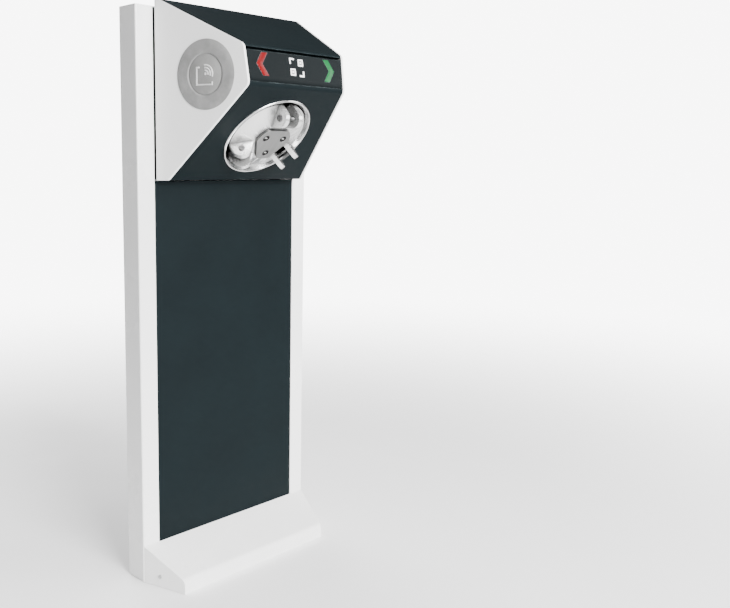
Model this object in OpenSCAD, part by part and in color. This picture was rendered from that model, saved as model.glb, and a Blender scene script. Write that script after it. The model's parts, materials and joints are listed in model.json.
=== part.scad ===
// Slim tripod turnstile that counts visitors: column, tapered head, rotor and the mechanism behind it.
// X runs across the column, -Y is the front, +Z is up. The origin is on the floor, below the middle
// of the column's front face.

/* [Column] */
// Width of the column
column_w = 405; // [360:1:520]
// Depth of the column
column_d = 50; // [46:1:80]
// Height of the column
column_h = 1038; // [860:1:1260]
// Thickness of the column's folded sheet
sheet_t = 2; // [1.5:0.1:3]
// Width of each white margin beside the front panel
margin_w = 34.7; // [25:0.1:50]
// Depth of the lips behind the front margins
lip_d = 16; // [12:0.5:20]
// Bend radius of the column's outer corners
column_bend = 3; // [2.5:0.1:5]
// Gap around a panel that fits in the column
panel_gap = 0.5; // [0.3:0.1:1]

/* [Base] */
// Height of the base cover at the column
cover_h = 70; // [55:1:110]
// How far the base cover reaches forward
cover_d = 88.5; // [75:0.5:140]
// Angle of the base cover's slope
cover_slope = 27; // [15:0.5:30]
// Radius of the base cover's front lip
cover_lip_r = 16; // [8:0.5:20]
// How much the base cover narrows on each side
cover_taper = 26.8; // [10:0.1:40]
// Wall of the base cover
cover_t = 2.5; // [2:0.1:4]
// Thickness of the base plate
plate_t = 8; // [6:0.5:12]
// Distance between the anchor holes across the column
anchor_x = 280; // [220:1:300]
// Distance between the anchor holes from front to back
anchor_y = 84; // [70:1:90]
// Radius of an anchor hole
anchor_r = 7; // [5:0.25:9]
// Radius of the cable hole in the base plate
cable_r = 16; // [10:0.5:18]

/* [Head] */
// How far the head's top edge stands above the column
head_rise = 12; // [0:1:40]
// Half of the head's width at the column
head_back_w = 168.4; // [150:0.1:180]
// Angle at which the head's sides close in towards the front
head_taper = 16.4; // [5:0.1:18]
// How far the top slope's back edge is from the column
head_brow = 9.8; // [5:0.1:20]
// How far the top slope reaches forward
head_top_d = 181; // [170:0.5:190]
// How far the head's nose reaches forward
head_nose_d = 191; // [186:0.5:205]
// Drop of the sloping top
head_top_drop = 85; // [70:0.5:110]
// Drop of the indicator face, from the top slope to the nose
head_band_drop = 64.5; // [60:0.5:75]
// How far the slanted face's bottom edge is from the column
head_foot_d = 31; // [20:0.5:40]
// Wall of the hood
hood_t = 3; // [2:0.1:4]
// Thickness of a side panel
side_t = 4; // [3:0.1:5]
// Seam between the hood and a side panel
seam = 0.9; // [0.4:0.1:2.5]
// Radius of the folds between the head's faces
head_fold_r = 7; // [4:0.5:10]
// Radius of the side panels' back bend
side_bend_r = 9; // [7:0.5:16]
// Gap between the head and the column
head_gap = 0.4; // [0.3:0.1:0.8]

/* [Indicator band] */
// Start of the recess below the top slope's edge
band_top = 3.6; // [3:0.1:8]
// Length of the recess down the indicator face
band_open = 57; // [50:0.5:58]
// Width of the groove above the band
band_groove = 3.4; // [2:0.1:5]
// Height of the flat part of the band
band_flat = 43; // [36:0.5:46]
// Thickness of the band
band_t = 9; // [6:0.5:12]
// Width of a chevron
chevron_w = 26; // [15:0.5:35]
// Height of a chevron
chevron_h = 38.5; // [20:0.5:40]
// Width of a chevron's stroke
chevron_stroke = 13; // [5:0.5:16]
// Distance of each chevron from the middle
chevron_x = 79; // [55:0.5:80]
// How far the chevrons and the icon stand proud
sign_proud = 0.5; // [0.2:0.1:1]

/* [Readers] */
// Radius of a reader disc
reader_r = 58.2; // [40:0.1:60]
// Radius of a reader disc's inner plate
reader_inner_r = 34; // [25:0.5:40]
// Distance of a reader disc from the column
reader_d = 109.7; // [95:0.1:112]
// Height of a reader disc's centre below the head's top edge
reader_drop = 132; // [125:0.5:140]
// How far a reader disc stands proud
reader_proud = 2.4; // [1:0.1:4]

/* [Rotor] */
// Distance of the rotor's centre from the nose, down the slanted face
rotor_from_nose = 115.5; // [105:0.5:120]
// Outer radius of the bezel ring
bezel_r = 88.2; // [85:0.1:95]
// Inner radius of the bezel ring
bezel_inner_r = 78.5; // [70:0.1:80]
// How far the bezel ring stands proud
bezel_proud = 3; // [1:0.1:5]
// Running gap between the rotor and the bezel ring
rotor_gap = 1.5; // [1:0.1:3]
// Radius of the rotor's flat top
rotor_top_r = 36; // [34:0.5:40]
// Height of the rotor's flat top over the slanted face
rotor_top_h = 12; // [8:0.5:16]
// Distance of a fork pin from the rotor's axis
pin_from_axis = 60; // [54:0.5:60]
// Height of a fork pin over the slanted face
pin_height = 16.5; // [15:0.5:20]
// Radius of a fork pin
pin_r = 4.5; // [4:0.1:7]
// Clear gap between the ears of a fork
fork_gap = 23; // [18:0.5:25]
// Thickness of an ear
ear_t = 8; // [5:0.5:9]
// Radius of an ear's end
ear_r = 16.8; // [13:0.1:17]
// Thickness of the hub cap
cap_t = 5; // [4:0.5:7]
// Radius of the circle of hub screws
screw_circle = 23.3; // [21:0.1:24]
// Number of arms
arms = 3; // [3:1:3]

/* [Mechanism] */
// Radius of the rotor shaft
shaft_r = 12.5; // [10:0.5:14]
// Running clearance on a radius
running = 0.05; // [0.02:0.01:0.1]
// Radius of the bearings
bearing_r = 23.5; // [22:0.5:26]
// Width of a bearing
bearing_w = 12; // [10:0.5:14]
// Thickness of the mechanism plate
mech_t = 6; // [4:0.5:8]
// Distance of the mechanism plate behind the slanted face
mech_back = 22; // [21:0.5:26]
// Radius of the lock wheel
wheel_r = 50; // [44:0.5:52]
// Thickness of the lock wheel and the pawls
wheel_t = 8; // [5:0.5:9]
// Module of the damper gears
gear_module = 2; // [1.5:0.25:2]
// Teeth on the damper gear
gear_teeth = 40; // [36:2:42]
// Teeth on the damper pinion
pinion_teeth = 12; // [12:2:14]
// Distance of a pawl's pin from the shaft's axis
pawl_x = 72; // [70:0.5:76]
// Radius of a pawl's pin
pawl_pin_r = 4; // [3:0.1:5]
// Distance from the pawl's pin to its nose
pawl_nose_l = 38; // [36:0.5:40]
// Distance from the pawl's pin to the plunger
pawl_push_l = 66; // [64:0.5:70]
// Gap between the pawl's nose and the wheel when the pawl is out
pawl_out_gap = 3.4; // [2:0.1:4]

/* [Lock and boards] */
// Radius of the override lock's barrel
lock_r = 9; // [7:0.5:11]
// Height of the override lock below the top of the column
lock_drop = 150; // [120:1:200]
// Width of the control board
board_w = 160; // [120:1:200]
// Height of the control board
board_h = 190; // [150:1:240]

/* [Hidden] */
$fn = 48;
eps = 0.01;
half_w = column_w / 2;
head_top = column_h + head_rise;
head_z1 = head_top - head_top_drop;
head_z2 = head_z1 - head_band_drop;
slant_run = head_nose_d - head_foot_d;
head_drop = head_top_drop + head_band_drop + slant_run;
head_bottom = head_top - head_drop;
white = [0.95, 0.95, 0.95];
dark = [0.18, 0.23, 0.24];
steel = [0.7, 0.71, 0.72];
zinc = [0.6, 0.62, 0.63];
black = [0.1, 0.1, 0.11];
grey = [0.62, 0.62, 0.61];

// Rounded outlines: each corner of a list of points becomes an arc of its own radius.
function unit(v) = v / norm(v);
function turn(a) = a > 180 ? a - 360 : a < -180 ? a + 360 : a;
function corner(p, a, b, r, n) = r <= 0 ? [p] : let(
    u = unit(a - p),
    v = unit(b - p),
    half = acos(u * v) / 2,
    c = p + unit(u + v) * (r / sin(half)),
    s = p + u * (r / tan(half)) - c,
    e = p + v * (r / tan(half)) - c,
    a0 = atan2(s.y, s.x),
    da = turn(atan2(e.y, e.x) - a0))
  [for (i = [0:n]) c + r * [cos(a0 + da * i / n), sin(a0 + da * i / n)]];
function rounded(pts, rs, n = 6) = [for (i = [0:len(pts) - 1])
  each corner(pts[i], pts[(i + len(pts) - 1) % len(pts)], pts[(i + 1) % len(pts)], rs[i], n)];
// A convex outline moved inwards by d.
function inset(pts, d) = [for (i = [0:len(pts) - 1]) let(
    p = pts[i],
    u = unit(pts[(i + len(pts) - 1) % len(pts)] - p),
    v = unit(pts[(i + 1) % len(pts)] - p))
  p + unit(u + v) * (d / sin(acos(u * v) / 2))];
function box2(x0, y0, x1, y1) = [[x0, y0], [x1, y0], [x1, y1], [x0, y1]];

// An outline in Y and Z, drawn along X between two planes.
module along_x(pts, x0, x1) {
  translate([x0, 0, 0]) rotate([90, 0, 90]) linear_extrude(x1 - x0) polygon(pts);
}
module block(x0, y0, z0, x1, y1, z1) {
  translate([x0, y0, z0]) cube([x1 - x0, y1 - y0, z1 - z0]);
}
module tube(r_out, r_in, h) {
  difference() {
    cylinder(r = r_out, h = h);
    translate([0, 0, -1]) cylinder(r = r_in, h = h + 2);
  }
}

// Column.
panel_half = half_w - margin_w;
lip_in = panel_half - 18;
flange_y = column_d - 2 * sheet_t - 0.3;
module column_body() color(white) difference() {
  union() {
    difference() {
      linear_extrude(column_h) polygon(rounded(box2(-half_w, 0, half_w, column_d),
        [column_bend, column_bend, sheet_t / 2, sheet_t / 2]));
      translate([0, 0, -1]) linear_extrude(column_h + 2) polygon(
        box2(-half_w + sheet_t, sheet_t, half_w - sheet_t, column_d + 1));
      block(-panel_half, -1, -1, panel_half, sheet_t + 1, column_h + 1);
    }
    for (side = [-1, 1]) {
      block(min(side * panel_half, side * (panel_half + sheet_t)), sheet_t - 1, 0,
        max(side * panel_half, side * (panel_half + sheet_t)), lip_d, column_h - sheet_t - 0.4);
      block(min(side * lip_in, side * (panel_half + sheet_t)), lip_d, 0,
        max(side * lip_in, side * (panel_half + sheet_t)), lip_d + sheet_t, column_h - sheet_t - 0.4);
      block(min(side * (half_w - 20), side * (half_w - 1)), flange_y - sheet_t, plate_t + 1,
        max(side * (half_w - 20), side * (half_w - 1)), flange_y, column_h - 3);
    }
  }
  // The foot clears the base plate
  block(-half_w - 1, -1, -1, half_w + 1, column_d + 1, 0.5);
  block(-half_w + sheet_t - eps, -1, -1, half_w - sheet_t + eps, column_d - sheet_t, plate_t + 0.3);
  for (side = [-1, 1], z = rear_screw_z) translate([side * (half_w - 11), flange_y - 6, z])
    rotate([-90, 0, 0]) cylinder(r = 2.05, h = 12);
}
rear_screw_z = [for (i = [0:3]) 60 + i * (column_h - 120) / 3];
rear_y = column_d - sheet_t;
module rear_cover() color(white) difference() {
  block(-half_w + sheet_t + panel_gap, rear_y, plate_t + 1, half_w - sheet_t - panel_gap, column_d,
    column_h - panel_gap);
  for (side = [-1, 1], z = rear_screw_z) translate([side * (half_w - 11), rear_y - 1, z])
    rotate([-90, 0, 0]) cylinder(r = 2.3, h = sheet_t + 2);
  translate([0, rear_y - 1, column_h - lock_drop]) rotate([-90, 0, 0]) cylinder(r = lock_r + 2.2, h = 6);
  // Louvres low on the cover
  for (i = [0:5]) block(-40, rear_y - 1, 150 + i * 12, 40, column_d + 1, 153 + i * 12);
}
module rear_cover_screws() color(steel) for (side = [-1, 1], z = rear_screw_z)
  translate([side * (half_w - 11), 0, z]) rotate([-90, 0, 0]) {
    translate([0, 0, flange_y - 6]) cylinder(r = 2, h = column_d - flange_y + 6);
    translate([0, 0, column_d]) difference() {
      cylinder(r = 4, h = 2);
      translate([0, 0, 0.8]) cylinder(r = 1.7, h = 2, $fn = 6);
    }
  }
module column_top_cap() color(white) {
  block(-half_w + sheet_t + 0.2, sheet_t + 0.2, column_h - sheet_t, half_w - sheet_t - 0.2, rear_y - 0.2,
    column_h);
  for (side = [-1, 1]) block(side * (half_w - 30) - 8, 20, column_h - 12, side * (half_w - 30) + 8,
    22, column_h - sheet_t + eps);
}
panel_x = panel_half - panel_gap;
panel_top = head_top - head_drop - 2;
module front_panel() color(dark) difference() {
  block(-panel_x, 0.8, cover_h - 7, panel_x, lip_d - 0.3, panel_top);
  block(-panel_x + sheet_t, 0.8 + sheet_t, cover_h - 7 + sheet_t, panel_x - sheet_t, lip_d,
    panel_top - sheet_t);
}

// Base.
cover_c = cos(cover_slope) * cover_h;
lip_c = -cover_d + cover_lip_r;
lip_z = (cover_c - cover_lip_r + sin(cover_slope) * lip_c) / cos(cover_slope);
function cover_profile(t, back, z0) = concat(
  [[back, (cover_c - t + sin(cover_slope) * back) / cos(cover_slope)]],
  [for (i = [0:8]) let(a = 90 + cover_slope + (90 - cover_slope) * i / 8)
    [lip_c, lip_z] + (cover_lip_r - t) * [cos(a), sin(a)]],
  [[-cover_d + t, z0], [back, z0]]);
taper_a = atan(cover_taper / cover_d);
cheek_x = half_w - 1.2;
function cheek(y, t = 0) = cheek_x + y * cover_taper / cover_d - t / cos(taper_a);
module cover_plan(t, back, z1) {
  translate([0, 0, -2]) linear_extrude(z1) polygon([[-cheek(back, t), back], [cheek(back, t), back],
    [cheek(-cover_d - 1, t), -cover_d - 1], [-cheek(-cover_d - 1, t), -cover_d - 1]]);
}
screw_d = 34.7;
screw_z = 20.2;
// Places a child on a cheek with its Z axis pointing out of it.
module on_cheek(side) {
  translate([side * cheek(-screw_d), -screw_d, screw_z]) rotate([90, 0, side * (90 - taper_a)]) children();
}
module base_cover() color(white) difference() {
  intersection() {
    along_x(cover_profile(0, -0.3, 0.5), -half_w, half_w);
    cover_plan(0, -0.3, cover_h + 10);
  }
  intersection() {
    along_x(cover_profile(cover_t, 1, -1), -half_w, half_w);
    cover_plan(cover_t, 1, cover_h + 10);
  }
  for (side = [-1, 1]) on_cheek(side) translate([0, 0, -cover_t - 1]) cylinder(r = 2.3, h = cover_t + 2);
}
module base_cover_screws() color(zinc) for (side = [-1, 1]) on_cheek(side) {
  translate([0, 0, -11]) cylinder(r = 2, h = 11 + eps);
  difference() {
    cylinder(r = 3.6, h = 1.6);
    translate([0, 0, 0.5]) cylinder(r = 1.5, h = 2, $fn = 6);
  }
}
anchor_mid = -22;
anchor_places = [for (sx = [-1, 1], sy = [-1, 1]) [sx * anchor_x / 2, anchor_mid + sy * anchor_y / 2]];
plate_back = column_d - sheet_t - 2.5;
cable_y = 22;
grommet_r = cable_r - 2.5;
grommet_lip = 3;
module base_plate() color(zinc) {
  difference() {
    union() {
      block(-half_w + sheet_t + 0.5, sheet_t + 0.5, 0, half_w - sheet_t - 0.5, plate_back, plate_t);
      linear_extrude(plate_t) polygon([[-cheek(sheet_t + 0.6, 5), sheet_t + 0.6], [cheek(sheet_t + 0.6, 5),
        sheet_t + 0.6], [cheek(-cover_d + 6, 5), -cover_d + 6], [-cheek(-cover_d + 6, 5), -cover_d + 6]]);
    }
    for (p = anchor_places) translate([p.x, p.y, -1]) cylinder(r = anchor_r, h = plate_t + 2);
    translate([0, cable_y, -1]) cylinder(r = cable_r, h = plate_t + 2);
  }
  // Tabs that carry the cheek screws
  for (side = [-1, 1]) on_cheek(side) difference() {
    translate([-9, -screw_z + plate_t - 1, -cover_t - 6.3]) cube([18, screw_z - plate_t + 10, 6]);
    translate([0, 0, -20]) cylinder(r = 2.05, h = 20);
  }
}
module cable_grommet() color(black) translate([0, cable_y, 0.5]) {
  tube(cable_r - running, grommet_r, plate_t - 0.4 + grommet_lip);
  translate([0, 0, plate_t - 0.4]) tube(cable_r + 3, grommet_r, grommet_lip);
}

// Head.
head_pts = [[-head_gap, head_top], [-head_brow, head_top], [-head_top_d, head_z1], [-head_nose_d, head_z2],
  [-head_foot_d, head_bottom], [-head_gap, head_bottom]];
head_rs = [0, 4, head_fold_r, head_fold_r + 3, 5, 0];
function head_half(y, t = 0) = head_back_w - t / cos(head_taper) + (y + head_brow) * tan(head_taper);
module head_plan(t, back, z0 = head_bottom - 5, z1 = head_top + 5) {
  front = -head_nose_d - 5;
  translate([0, 0, z0]) linear_extrude(z1 - z0) polygon([[-head_half(back, t), back],
    [head_half(back, t), back], [head_half(front, t), front], [-head_half(front, t), front]]);
}
// The band's own frame: X across, Y up the indicator face, Z out of it, from its upper edge.
band_lean = atan((head_nose_d - head_top_d) / head_band_drop);
module on_band() {
  translate([0, -head_top_d, head_z1]) rotate([90 - band_lean, 0, 0]) children();
}
// The rotor's frame: X across, Y up the slanted face, Z out along the rotor's axis.
rotor_y = -head_nose_d + rotor_from_nose * cos(45);
rotor_z = head_z2 - rotor_from_nose * sin(45);
module on_axis(h = 0) {
  translate([0, rotor_y, rotor_z]) rotate([135, 0, 0]) translate([0, 0, h]) children();
}
bezel_spigot_r = bezel_r - 4.4;
band_pocket = band_t + 5;
// Right half of the hood's plan, stepped round the side panel's back return.
return_w = 24;
return_t = 3;
hood_back = head_gap + return_t + seam;
hood_side = side_t + seam;
hood_half = concat([[head_half(-head_nose_d - 5, hood_side), -head_nose_d - 5]],
  corner([head_half(-hood_back, hood_side), -hood_back],
    [head_half(-head_nose_d - 5, hood_side), -head_nose_d - 5],
    [head_back_w - return_w - 14, -hood_back], side_bend_r - hood_side, 8),
  [[head_back_w - return_w - seam, -hood_back], [head_back_w - return_w - seam, 0]]);
module hood() color(dark) difference() {
  intersection() {
    union() {
      difference() {
        along_x(rounded(head_pts, head_rs), -head_back_w, head_back_w);
        along_x(rounded(inset(head_pts, hood_t), [0, 1, head_fold_r - hood_t, head_fold_r, 2, 0]),
          -head_back_w, head_back_w);
        block(-head_back_w, -head_gap - hood_t - 1, head_bottom + hood_t, head_back_w, 1, head_top - hood_t);
      }
      // Trough that holds the indicator band and its board
      on_band() translate([-head_back_w, -band_top - band_open - 1, -band_pocket - 2.5])
        cube([2 * head_back_w, band_open + 2, band_pocket - 0.5]);
    }
    translate([0, 0, head_bottom - 5]) linear_extrude(head_drop + 10)
      polygon(concat(hood_half, [for (i = [len(hood_half) - 1:-1:0]) [-hood_half[i].x, hood_half[i].y]]));
  }
  on_band() translate([-head_back_w, -band_top - band_open, -band_pocket])
    cube([2 * head_back_w, band_open, band_pocket + 10]);
  on_axis(-hood_t - 3) cylinder(r = bezel_spigot_r + 0.3, h = 10, $fn = 96);
}
module side_panel(side) color(white) difference() {
  intersection() {
    along_x(rounded(head_pts, [2, 3, 12, 14, 6, 2]), -head_back_w - 2, head_back_w + 2);
    translate([0, 0, head_bottom - 5]) linear_extrude(head_drop + 10) polygon(
      side == 1 ? side_outline : [for (p = side_outline) [-p.x, p.y]]);
  }
  // Seat for the reader disc's boss
  on_side(side) translate([0, 0, -side_t - 3]) cylinder(r = 9, h = side_t + 4);
}
side_outline = concat(
  corner([head_half(-head_gap), -head_gap], [head_half(-head_nose_d - 1), -head_nose_d - 1],
    [head_half(-head_gap) - 40, -head_gap], side_bend_r, 8),
  [[head_back_w - return_w, -head_gap], [head_back_w - return_w, -head_gap - return_t]],
  corner([head_half(-head_gap - return_t, side_t), -head_gap - return_t],
    [head_back_w - return_w - 14, -head_gap - return_t],
    [head_half(-head_nose_d - 1, side_t), -head_nose_d - 1], side_bend_r - side_t, 8),
  [[head_half(-head_nose_d - 1, side_t), -head_nose_d - 1],
    [head_half(-head_nose_d - 1), -head_nose_d - 1]]);
module side_panel_left() side_panel(-1);
module side_panel_right() side_panel(1);

// A side panel's frame at the reader: X along the panel, Y up, Z out of it.
module on_side(side) {
  translate([side * head_half(-reader_d), -reader_d, head_top - reader_drop])
    rotate([90, 0, side * (90 - head_taper)]) children();
}
module arc_bar(r, w, a0, a1, h) {
  rotate([0, 0, a0]) rotate_extrude(angle = a1 - a0) translate([r - w / 2, 0]) square([w, h]);
}
module reader_disc(side) color(grey) on_side(side) {
  rotate_extrude($fn = 96) polygon([[0, 0.1], [reader_r, 0.1], [reader_r, 0.8], [reader_r - 1.6, reader_proud],
    [reader_inner_r + 3, reader_proud - 0.4], [reader_inner_r, reader_proud - 1.2], [0, reader_proud - 1.2]]);
  translate([0, 0, -side_t - 2]) cylinder(r = 8.6, h = side_t + 2.2);
  // Raised corner of a card with three waves over it
  translate([0, 0, reader_proud - 1.2 - eps]) {
    linear_extrude(0.8) polygon(card_pts);
    translate([wave_spot.x, wave_spot.y, 0]) {
      for (r = wave_rs) arc_bar(r, 2.6, -20, 100, 0.8);
      cylinder(r = 2.2, h = 0.8);
    }
  }
}
card_pts = [[-18, 13], [-18, -18], [16, -18], [16, -12], [13.4, -12], [13.4, -15.4], [-15.4, -15.4],
  [-15.4, 10.4], [-11, 10.4], [-11, 13]];
wave_spot = [1, 1];
wave_rs = [5.5, 10, 14.5];
module reader_disc_left() reader_disc(-1);
module reader_disc_right() reader_disc(1);
module reader_board(side) color([0.1, 0.35, 0.2]) on_side(side) translate([0, 0, -side_t - 2.3]) {
  translate([-32, -24, -1.6]) cube([64, 48, 1.6]);
  translate([-8, -6, -3.4]) cube([14, 12, 1.9]);
  for (x = [-28, 28]) translate([x, 0, -eps]) cylinder(r = 2.5, h = 2);
}
module reader_board_left() reader_board(-1);
module reader_board_right() reader_board(1);

// Indicator band.
band_face = -1;
band_s0 = -band_top - band_groove;
band_s1 = band_s0 - 1.5;
band_s2 = band_s1 - band_flat;
band_s3 = -band_top - band_open + 1.6;
band_mid = (band_s1 + band_s2) / 2;
module indicator_band() color(dark) difference() {
  intersection() {
    on_band() rotate([90, 0, 90]) translate([0, 0, -head_back_w]) linear_extrude(2 * head_back_w) polygon([
      [band_s0, -band_t], [band_s0, band_face - 1.5], [band_s1, band_face], [band_s2, band_face],
      [band_s3, band_face - 3], [band_s3, -band_t]]);
    head_plan(side_t + seam, 0);
  }
  on_band() translate([0, band_mid, band_face]) {
    for (side = [-1, 1]) translate([side * chevron_x, 0, -4]) linear_extrude(6)
      polygon([for (p = chevron(0.15)) [side * p.x, p.y]]);
    translate([0, 0, -2]) icon_pieces(0.15, 4);
  }
}
// A chevron that points to +X, grown by g.
function chevron(g) = let(w = chevron_w / 2 + g, h = chevron_h / 2 + g, s = chevron_stroke + 2 * g) [
  [-w, h], [-w + s, h], [w, 0], [-w + s, -h], [-w, -h], [w - s, 0]];
module chevron_red() color([0.85, 0.2, 0.22]) on_band()
  translate([-chevron_x, band_mid, band_face - 3.8]) linear_extrude(3.8 + sign_proud)
    polygon([for (p = chevron(0)) [-p.x, p.y]]);
module chevron_green() color([0.2, 0.8, 0.5]) on_band()
  translate([chevron_x, band_mid, band_face - 3.8]) linear_extrude(3.8 + sign_proud) polygon(chevron(0));
// A plain scanning sign: two corner brackets, and two square marks with a dot.
icon_cell = [9.5, 8.5];
icon_mark = 6;
function icon_bracket(g) = [[-7 - g, -3 - g], [-4 + g, -3 - g], [-4 + g, 4 - g], [4 + g, 4 - g],
  [4 + g, 7 + g], [-7 - g, 7 + g]];
module icon_pieces(g, h) {
  for (s = [1, -1]) {
    translate([-s * icon_cell.x, s * icon_cell.y, 0]) linear_extrude(h)
      polygon([for (p = icon_bracket(g)) s * p]);
    translate([s * icon_cell.x, s * icon_cell.y, 0]) linear_extrude(h)
      polygon(rounded(box2(-icon_mark - g, -icon_mark - g, icon_mark + g, icon_mark + g),
        [1.5, 1.5, 1.5, 1.5]));
  }
}
module band_icon() color(white) on_band() translate([0, band_mid, band_face - 1.8]) {
  difference() {
    icon_pieces(0, 1.8 + sign_proud);
    for (s = [1, -1]) translate([s * icon_cell.x, s * icon_cell.y, -1]) linear_extrude(5)
      polygon(box2(-icon_mark + 2.6, -icon_mark + 2.6, icon_mark - 2.6, icon_mark - 2.6));
  }
  for (s = [1, -1]) translate([s * icon_cell.x, s * icon_cell.y, 0]) linear_extrude(1.8 + sign_proud)
    polygon(box2(-1.9, -1.9, 1.9, 1.9));
}
module indicator_board() color([0.1, 0.35, 0.2]) on_band() translate([0, band_mid, -band_t - 0.3]) {
  translate([-95, -17, -1.6]) cube([190, 34, 1.6]);
  for (x = [-chevron_x, chevron_x], y = [-10, 0, 10]) translate([x - 2.5, y - 2.5, -3]) cube([5, 5, 1.5]);
}

// Rotor.
rotor_r = bezel_inner_r - rotor_gap;
flange_h = -20;
flange_t = 6;
spigot_r = 10;
module bezel_ring() color(steel) on_axis() rotate_extrude($fn = 96) polygon([
  [bezel_inner_r, -9], [bezel_spigot_r, -9], [bezel_spigot_r, 0.1], [bezel_r, 0.1], [bezel_r, 1.6],
  [bezel_r - 1.4, bezel_proud], [bezel_r - 3.6, bezel_proud], [bezel_inner_r + 1.4, -3],
  [bezel_inner_r, -4.5]]);
fork_angles = [for (i = [0:arms - 1]) 90 + i * 360 / arms];
// An ear's outline in radius and height: an end round the pin, and a foot down to the cone.
ear_pts = concat([[rotor_r - 2, -5], [pin_from_axis + ear_r, -1], [pin_from_axis + ear_r, pin_height]],
  [for (a = [15:15:135]) [pin_from_axis, pin_height] + ear_r * [cos(a), sin(a)]],
  [[rotor_top_r - 2, rotor_top_h], [rotor_top_r, 0]]);
module ears() {
  for (side = [-1, 1]) translate([0, side * (fork_gap + ear_t) / 2 + ear_t / 2, 0])
    rotate([90, 0, 0]) linear_extrude(ear_t) polygon(ear_pts);
}
module rotor_body() color(steel) on_axis() difference() {
  union() {
    difference() {
      rotate_extrude($fn = 96) polygon([[0, flange_h + flange_t], [30, flange_h + flange_t], [30, -9],
        [rotor_r - 8, -9], [rotor_r - 5, -7], [rotor_r, -7], [rotor_r, -1.5], [rotor_top_r, rotor_top_h],
        [0, rotor_top_h]]);
      for (a = fork_angles) rotate([0, 0, a])
        translate([rotor_top_r + 2, -fork_gap / 2, -20]) cube([60, fork_gap, 50]);
    }
    for (a = fork_angles) rotate([0, 0, a]) ears();
  }
  for (a = fork_angles) rotate([0, 0, a]) translate([pin_from_axis, 0, pin_height]) rotate([90, 0, 0])
    translate([0, 0, -fork_gap / 2 - ear_t - 1]) cylinder(r = pin_r + running, h = fork_gap + 2 * ear_t + 2);
  translate([0, 0, flange_h]) cylinder(r = spigot_r + running, h = 60);
  for (a = fork_angles) rotate([0, 0, a + 60]) translate([screw_circle, 0, flange_h]) cylinder(r = 3.2, h = 60);
}
module fork_pins() color(zinc) on_axis() for (a = fork_angles) rotate([0, 0, a])
  translate([pin_from_axis, 0, pin_height]) rotate([90, 0, 0]) {
    translate([0, 0, -fork_gap / 2 - ear_t - 1.2]) cylinder(r = pin_r, h = fork_gap + 2 * ear_t + 2.4);
    for (s = [-1, 1]) translate([0, 0, s * (fork_gap / 2 + ear_t + 1.1) - 0.9])
      cylinder(r = pin_r + 1.2, h = 1.8);
  }
cap_lobe_r = rotor_top_r + 2;
module hub_cap() color(steel) on_axis(rotor_top_h) difference() {
  intersection() {
    cylinder(r = cap_lobe_r, h = cap_t, $fn = 96);
    linear_extrude(cap_t) polygon([for (a = fork_angles)
      2 * (rotor_top_r - 6) * [cos(a + 60), sin(a + 60)]]);
  }
  for (a = fork_angles) rotate([0, 0, a + 60]) translate([screw_circle, 0, -1]) {
    cylinder(r = 3.2, h = cap_t + 2);
    translate([0, 0, 1.6]) cylinder(r = 6.6, h = cap_t);
  }
}
module hub_screws() color(black) on_axis() for (a = fork_angles) rotate([0, 0, a + 60])
  translate([screw_circle, 0, 0]) difference() {
    union() {
      translate([0, 0, flange_h + 0.5]) cylinder(r = 3, h = rotor_top_h + 1.6 - flange_h - 0.5 + eps);
      translate([0, 0, rotor_top_h + 1.6]) cylinder(r = 5.8, h = 2.8);
    }
    translate([0, 0, rotor_top_h + 2.6]) cylinder(r = 3, h = 4, $fn = 6);
  }

// Shaft, bearings and what turns with the shaft.
mech_h = -mech_back - mech_t;
bearing_h = [mech_h - 4 - bearing_w, mech_h - 8 - 2 * bearing_w];
gear_h = mech_h - 41;
gear_t = 6;
wheel_h = gear_h - 12;
disc_h = wheel_h - 6.8;
shaft_end = disc_h - 10;
// Where a pawl's nose stands beside the wheel
nose_x = sqrt(pow(wheel_r + pawl_out_gap, 2) - pow(pawl_nose_l, 2)) + 2.5;
nose_angle = atan2(3 - pawl_nose_l, nose_x);
module rotor_shaft() color(steel) on_axis() difference() {
  union() {
    translate([0, 0, shaft_end]) cylinder(r = shaft_r, h = flange_h - shaft_end + eps);
    translate([0, 0, flange_h]) cylinder(r = 29.5, h = flange_t);
    translate([0, 0, flange_h + flange_t - eps])
      cylinder(r = spigot_r, h = rotor_top_h - flange_h - flange_t - 1);
  }
  for (a = fork_angles) rotate([0, 0, a + 60]) translate([screw_circle, 0, flange_h - 1])
    cylinder(r = 3 + running, h = 9);
}
module shaft_nut() color(zinc) on_axis(shaft_end + 1) difference() {
  cylinder(r = 20, h = disc_h - shaft_end - 1.1, $fn = 6);
  translate([0, 0, -1]) cylinder(r = shaft_r + running, h = 20);
}
module lock_wheel() color(steel) on_axis(wheel_h) difference() {
  cylinder(r = wheel_r, h = wheel_t, $fn = 96);
  translate([0, 0, -1]) cylinder(r = shaft_r + running, h = wheel_t + 2);
  // A pair of notches for each home position, one for each pawl
  for (a = fork_angles, b = [nose_angle, 180 - nose_angle]) rotate([0, 0, a + 30 + b])
    translate([wheel_r - 8, -6, -1]) cube([20, 12, wheel_t + 2]);
  for (a = fork_angles) rotate([0, 0, a]) translate([30, 0, -1]) cylinder(r = 7, h = wheel_t + 2);
}
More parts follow.
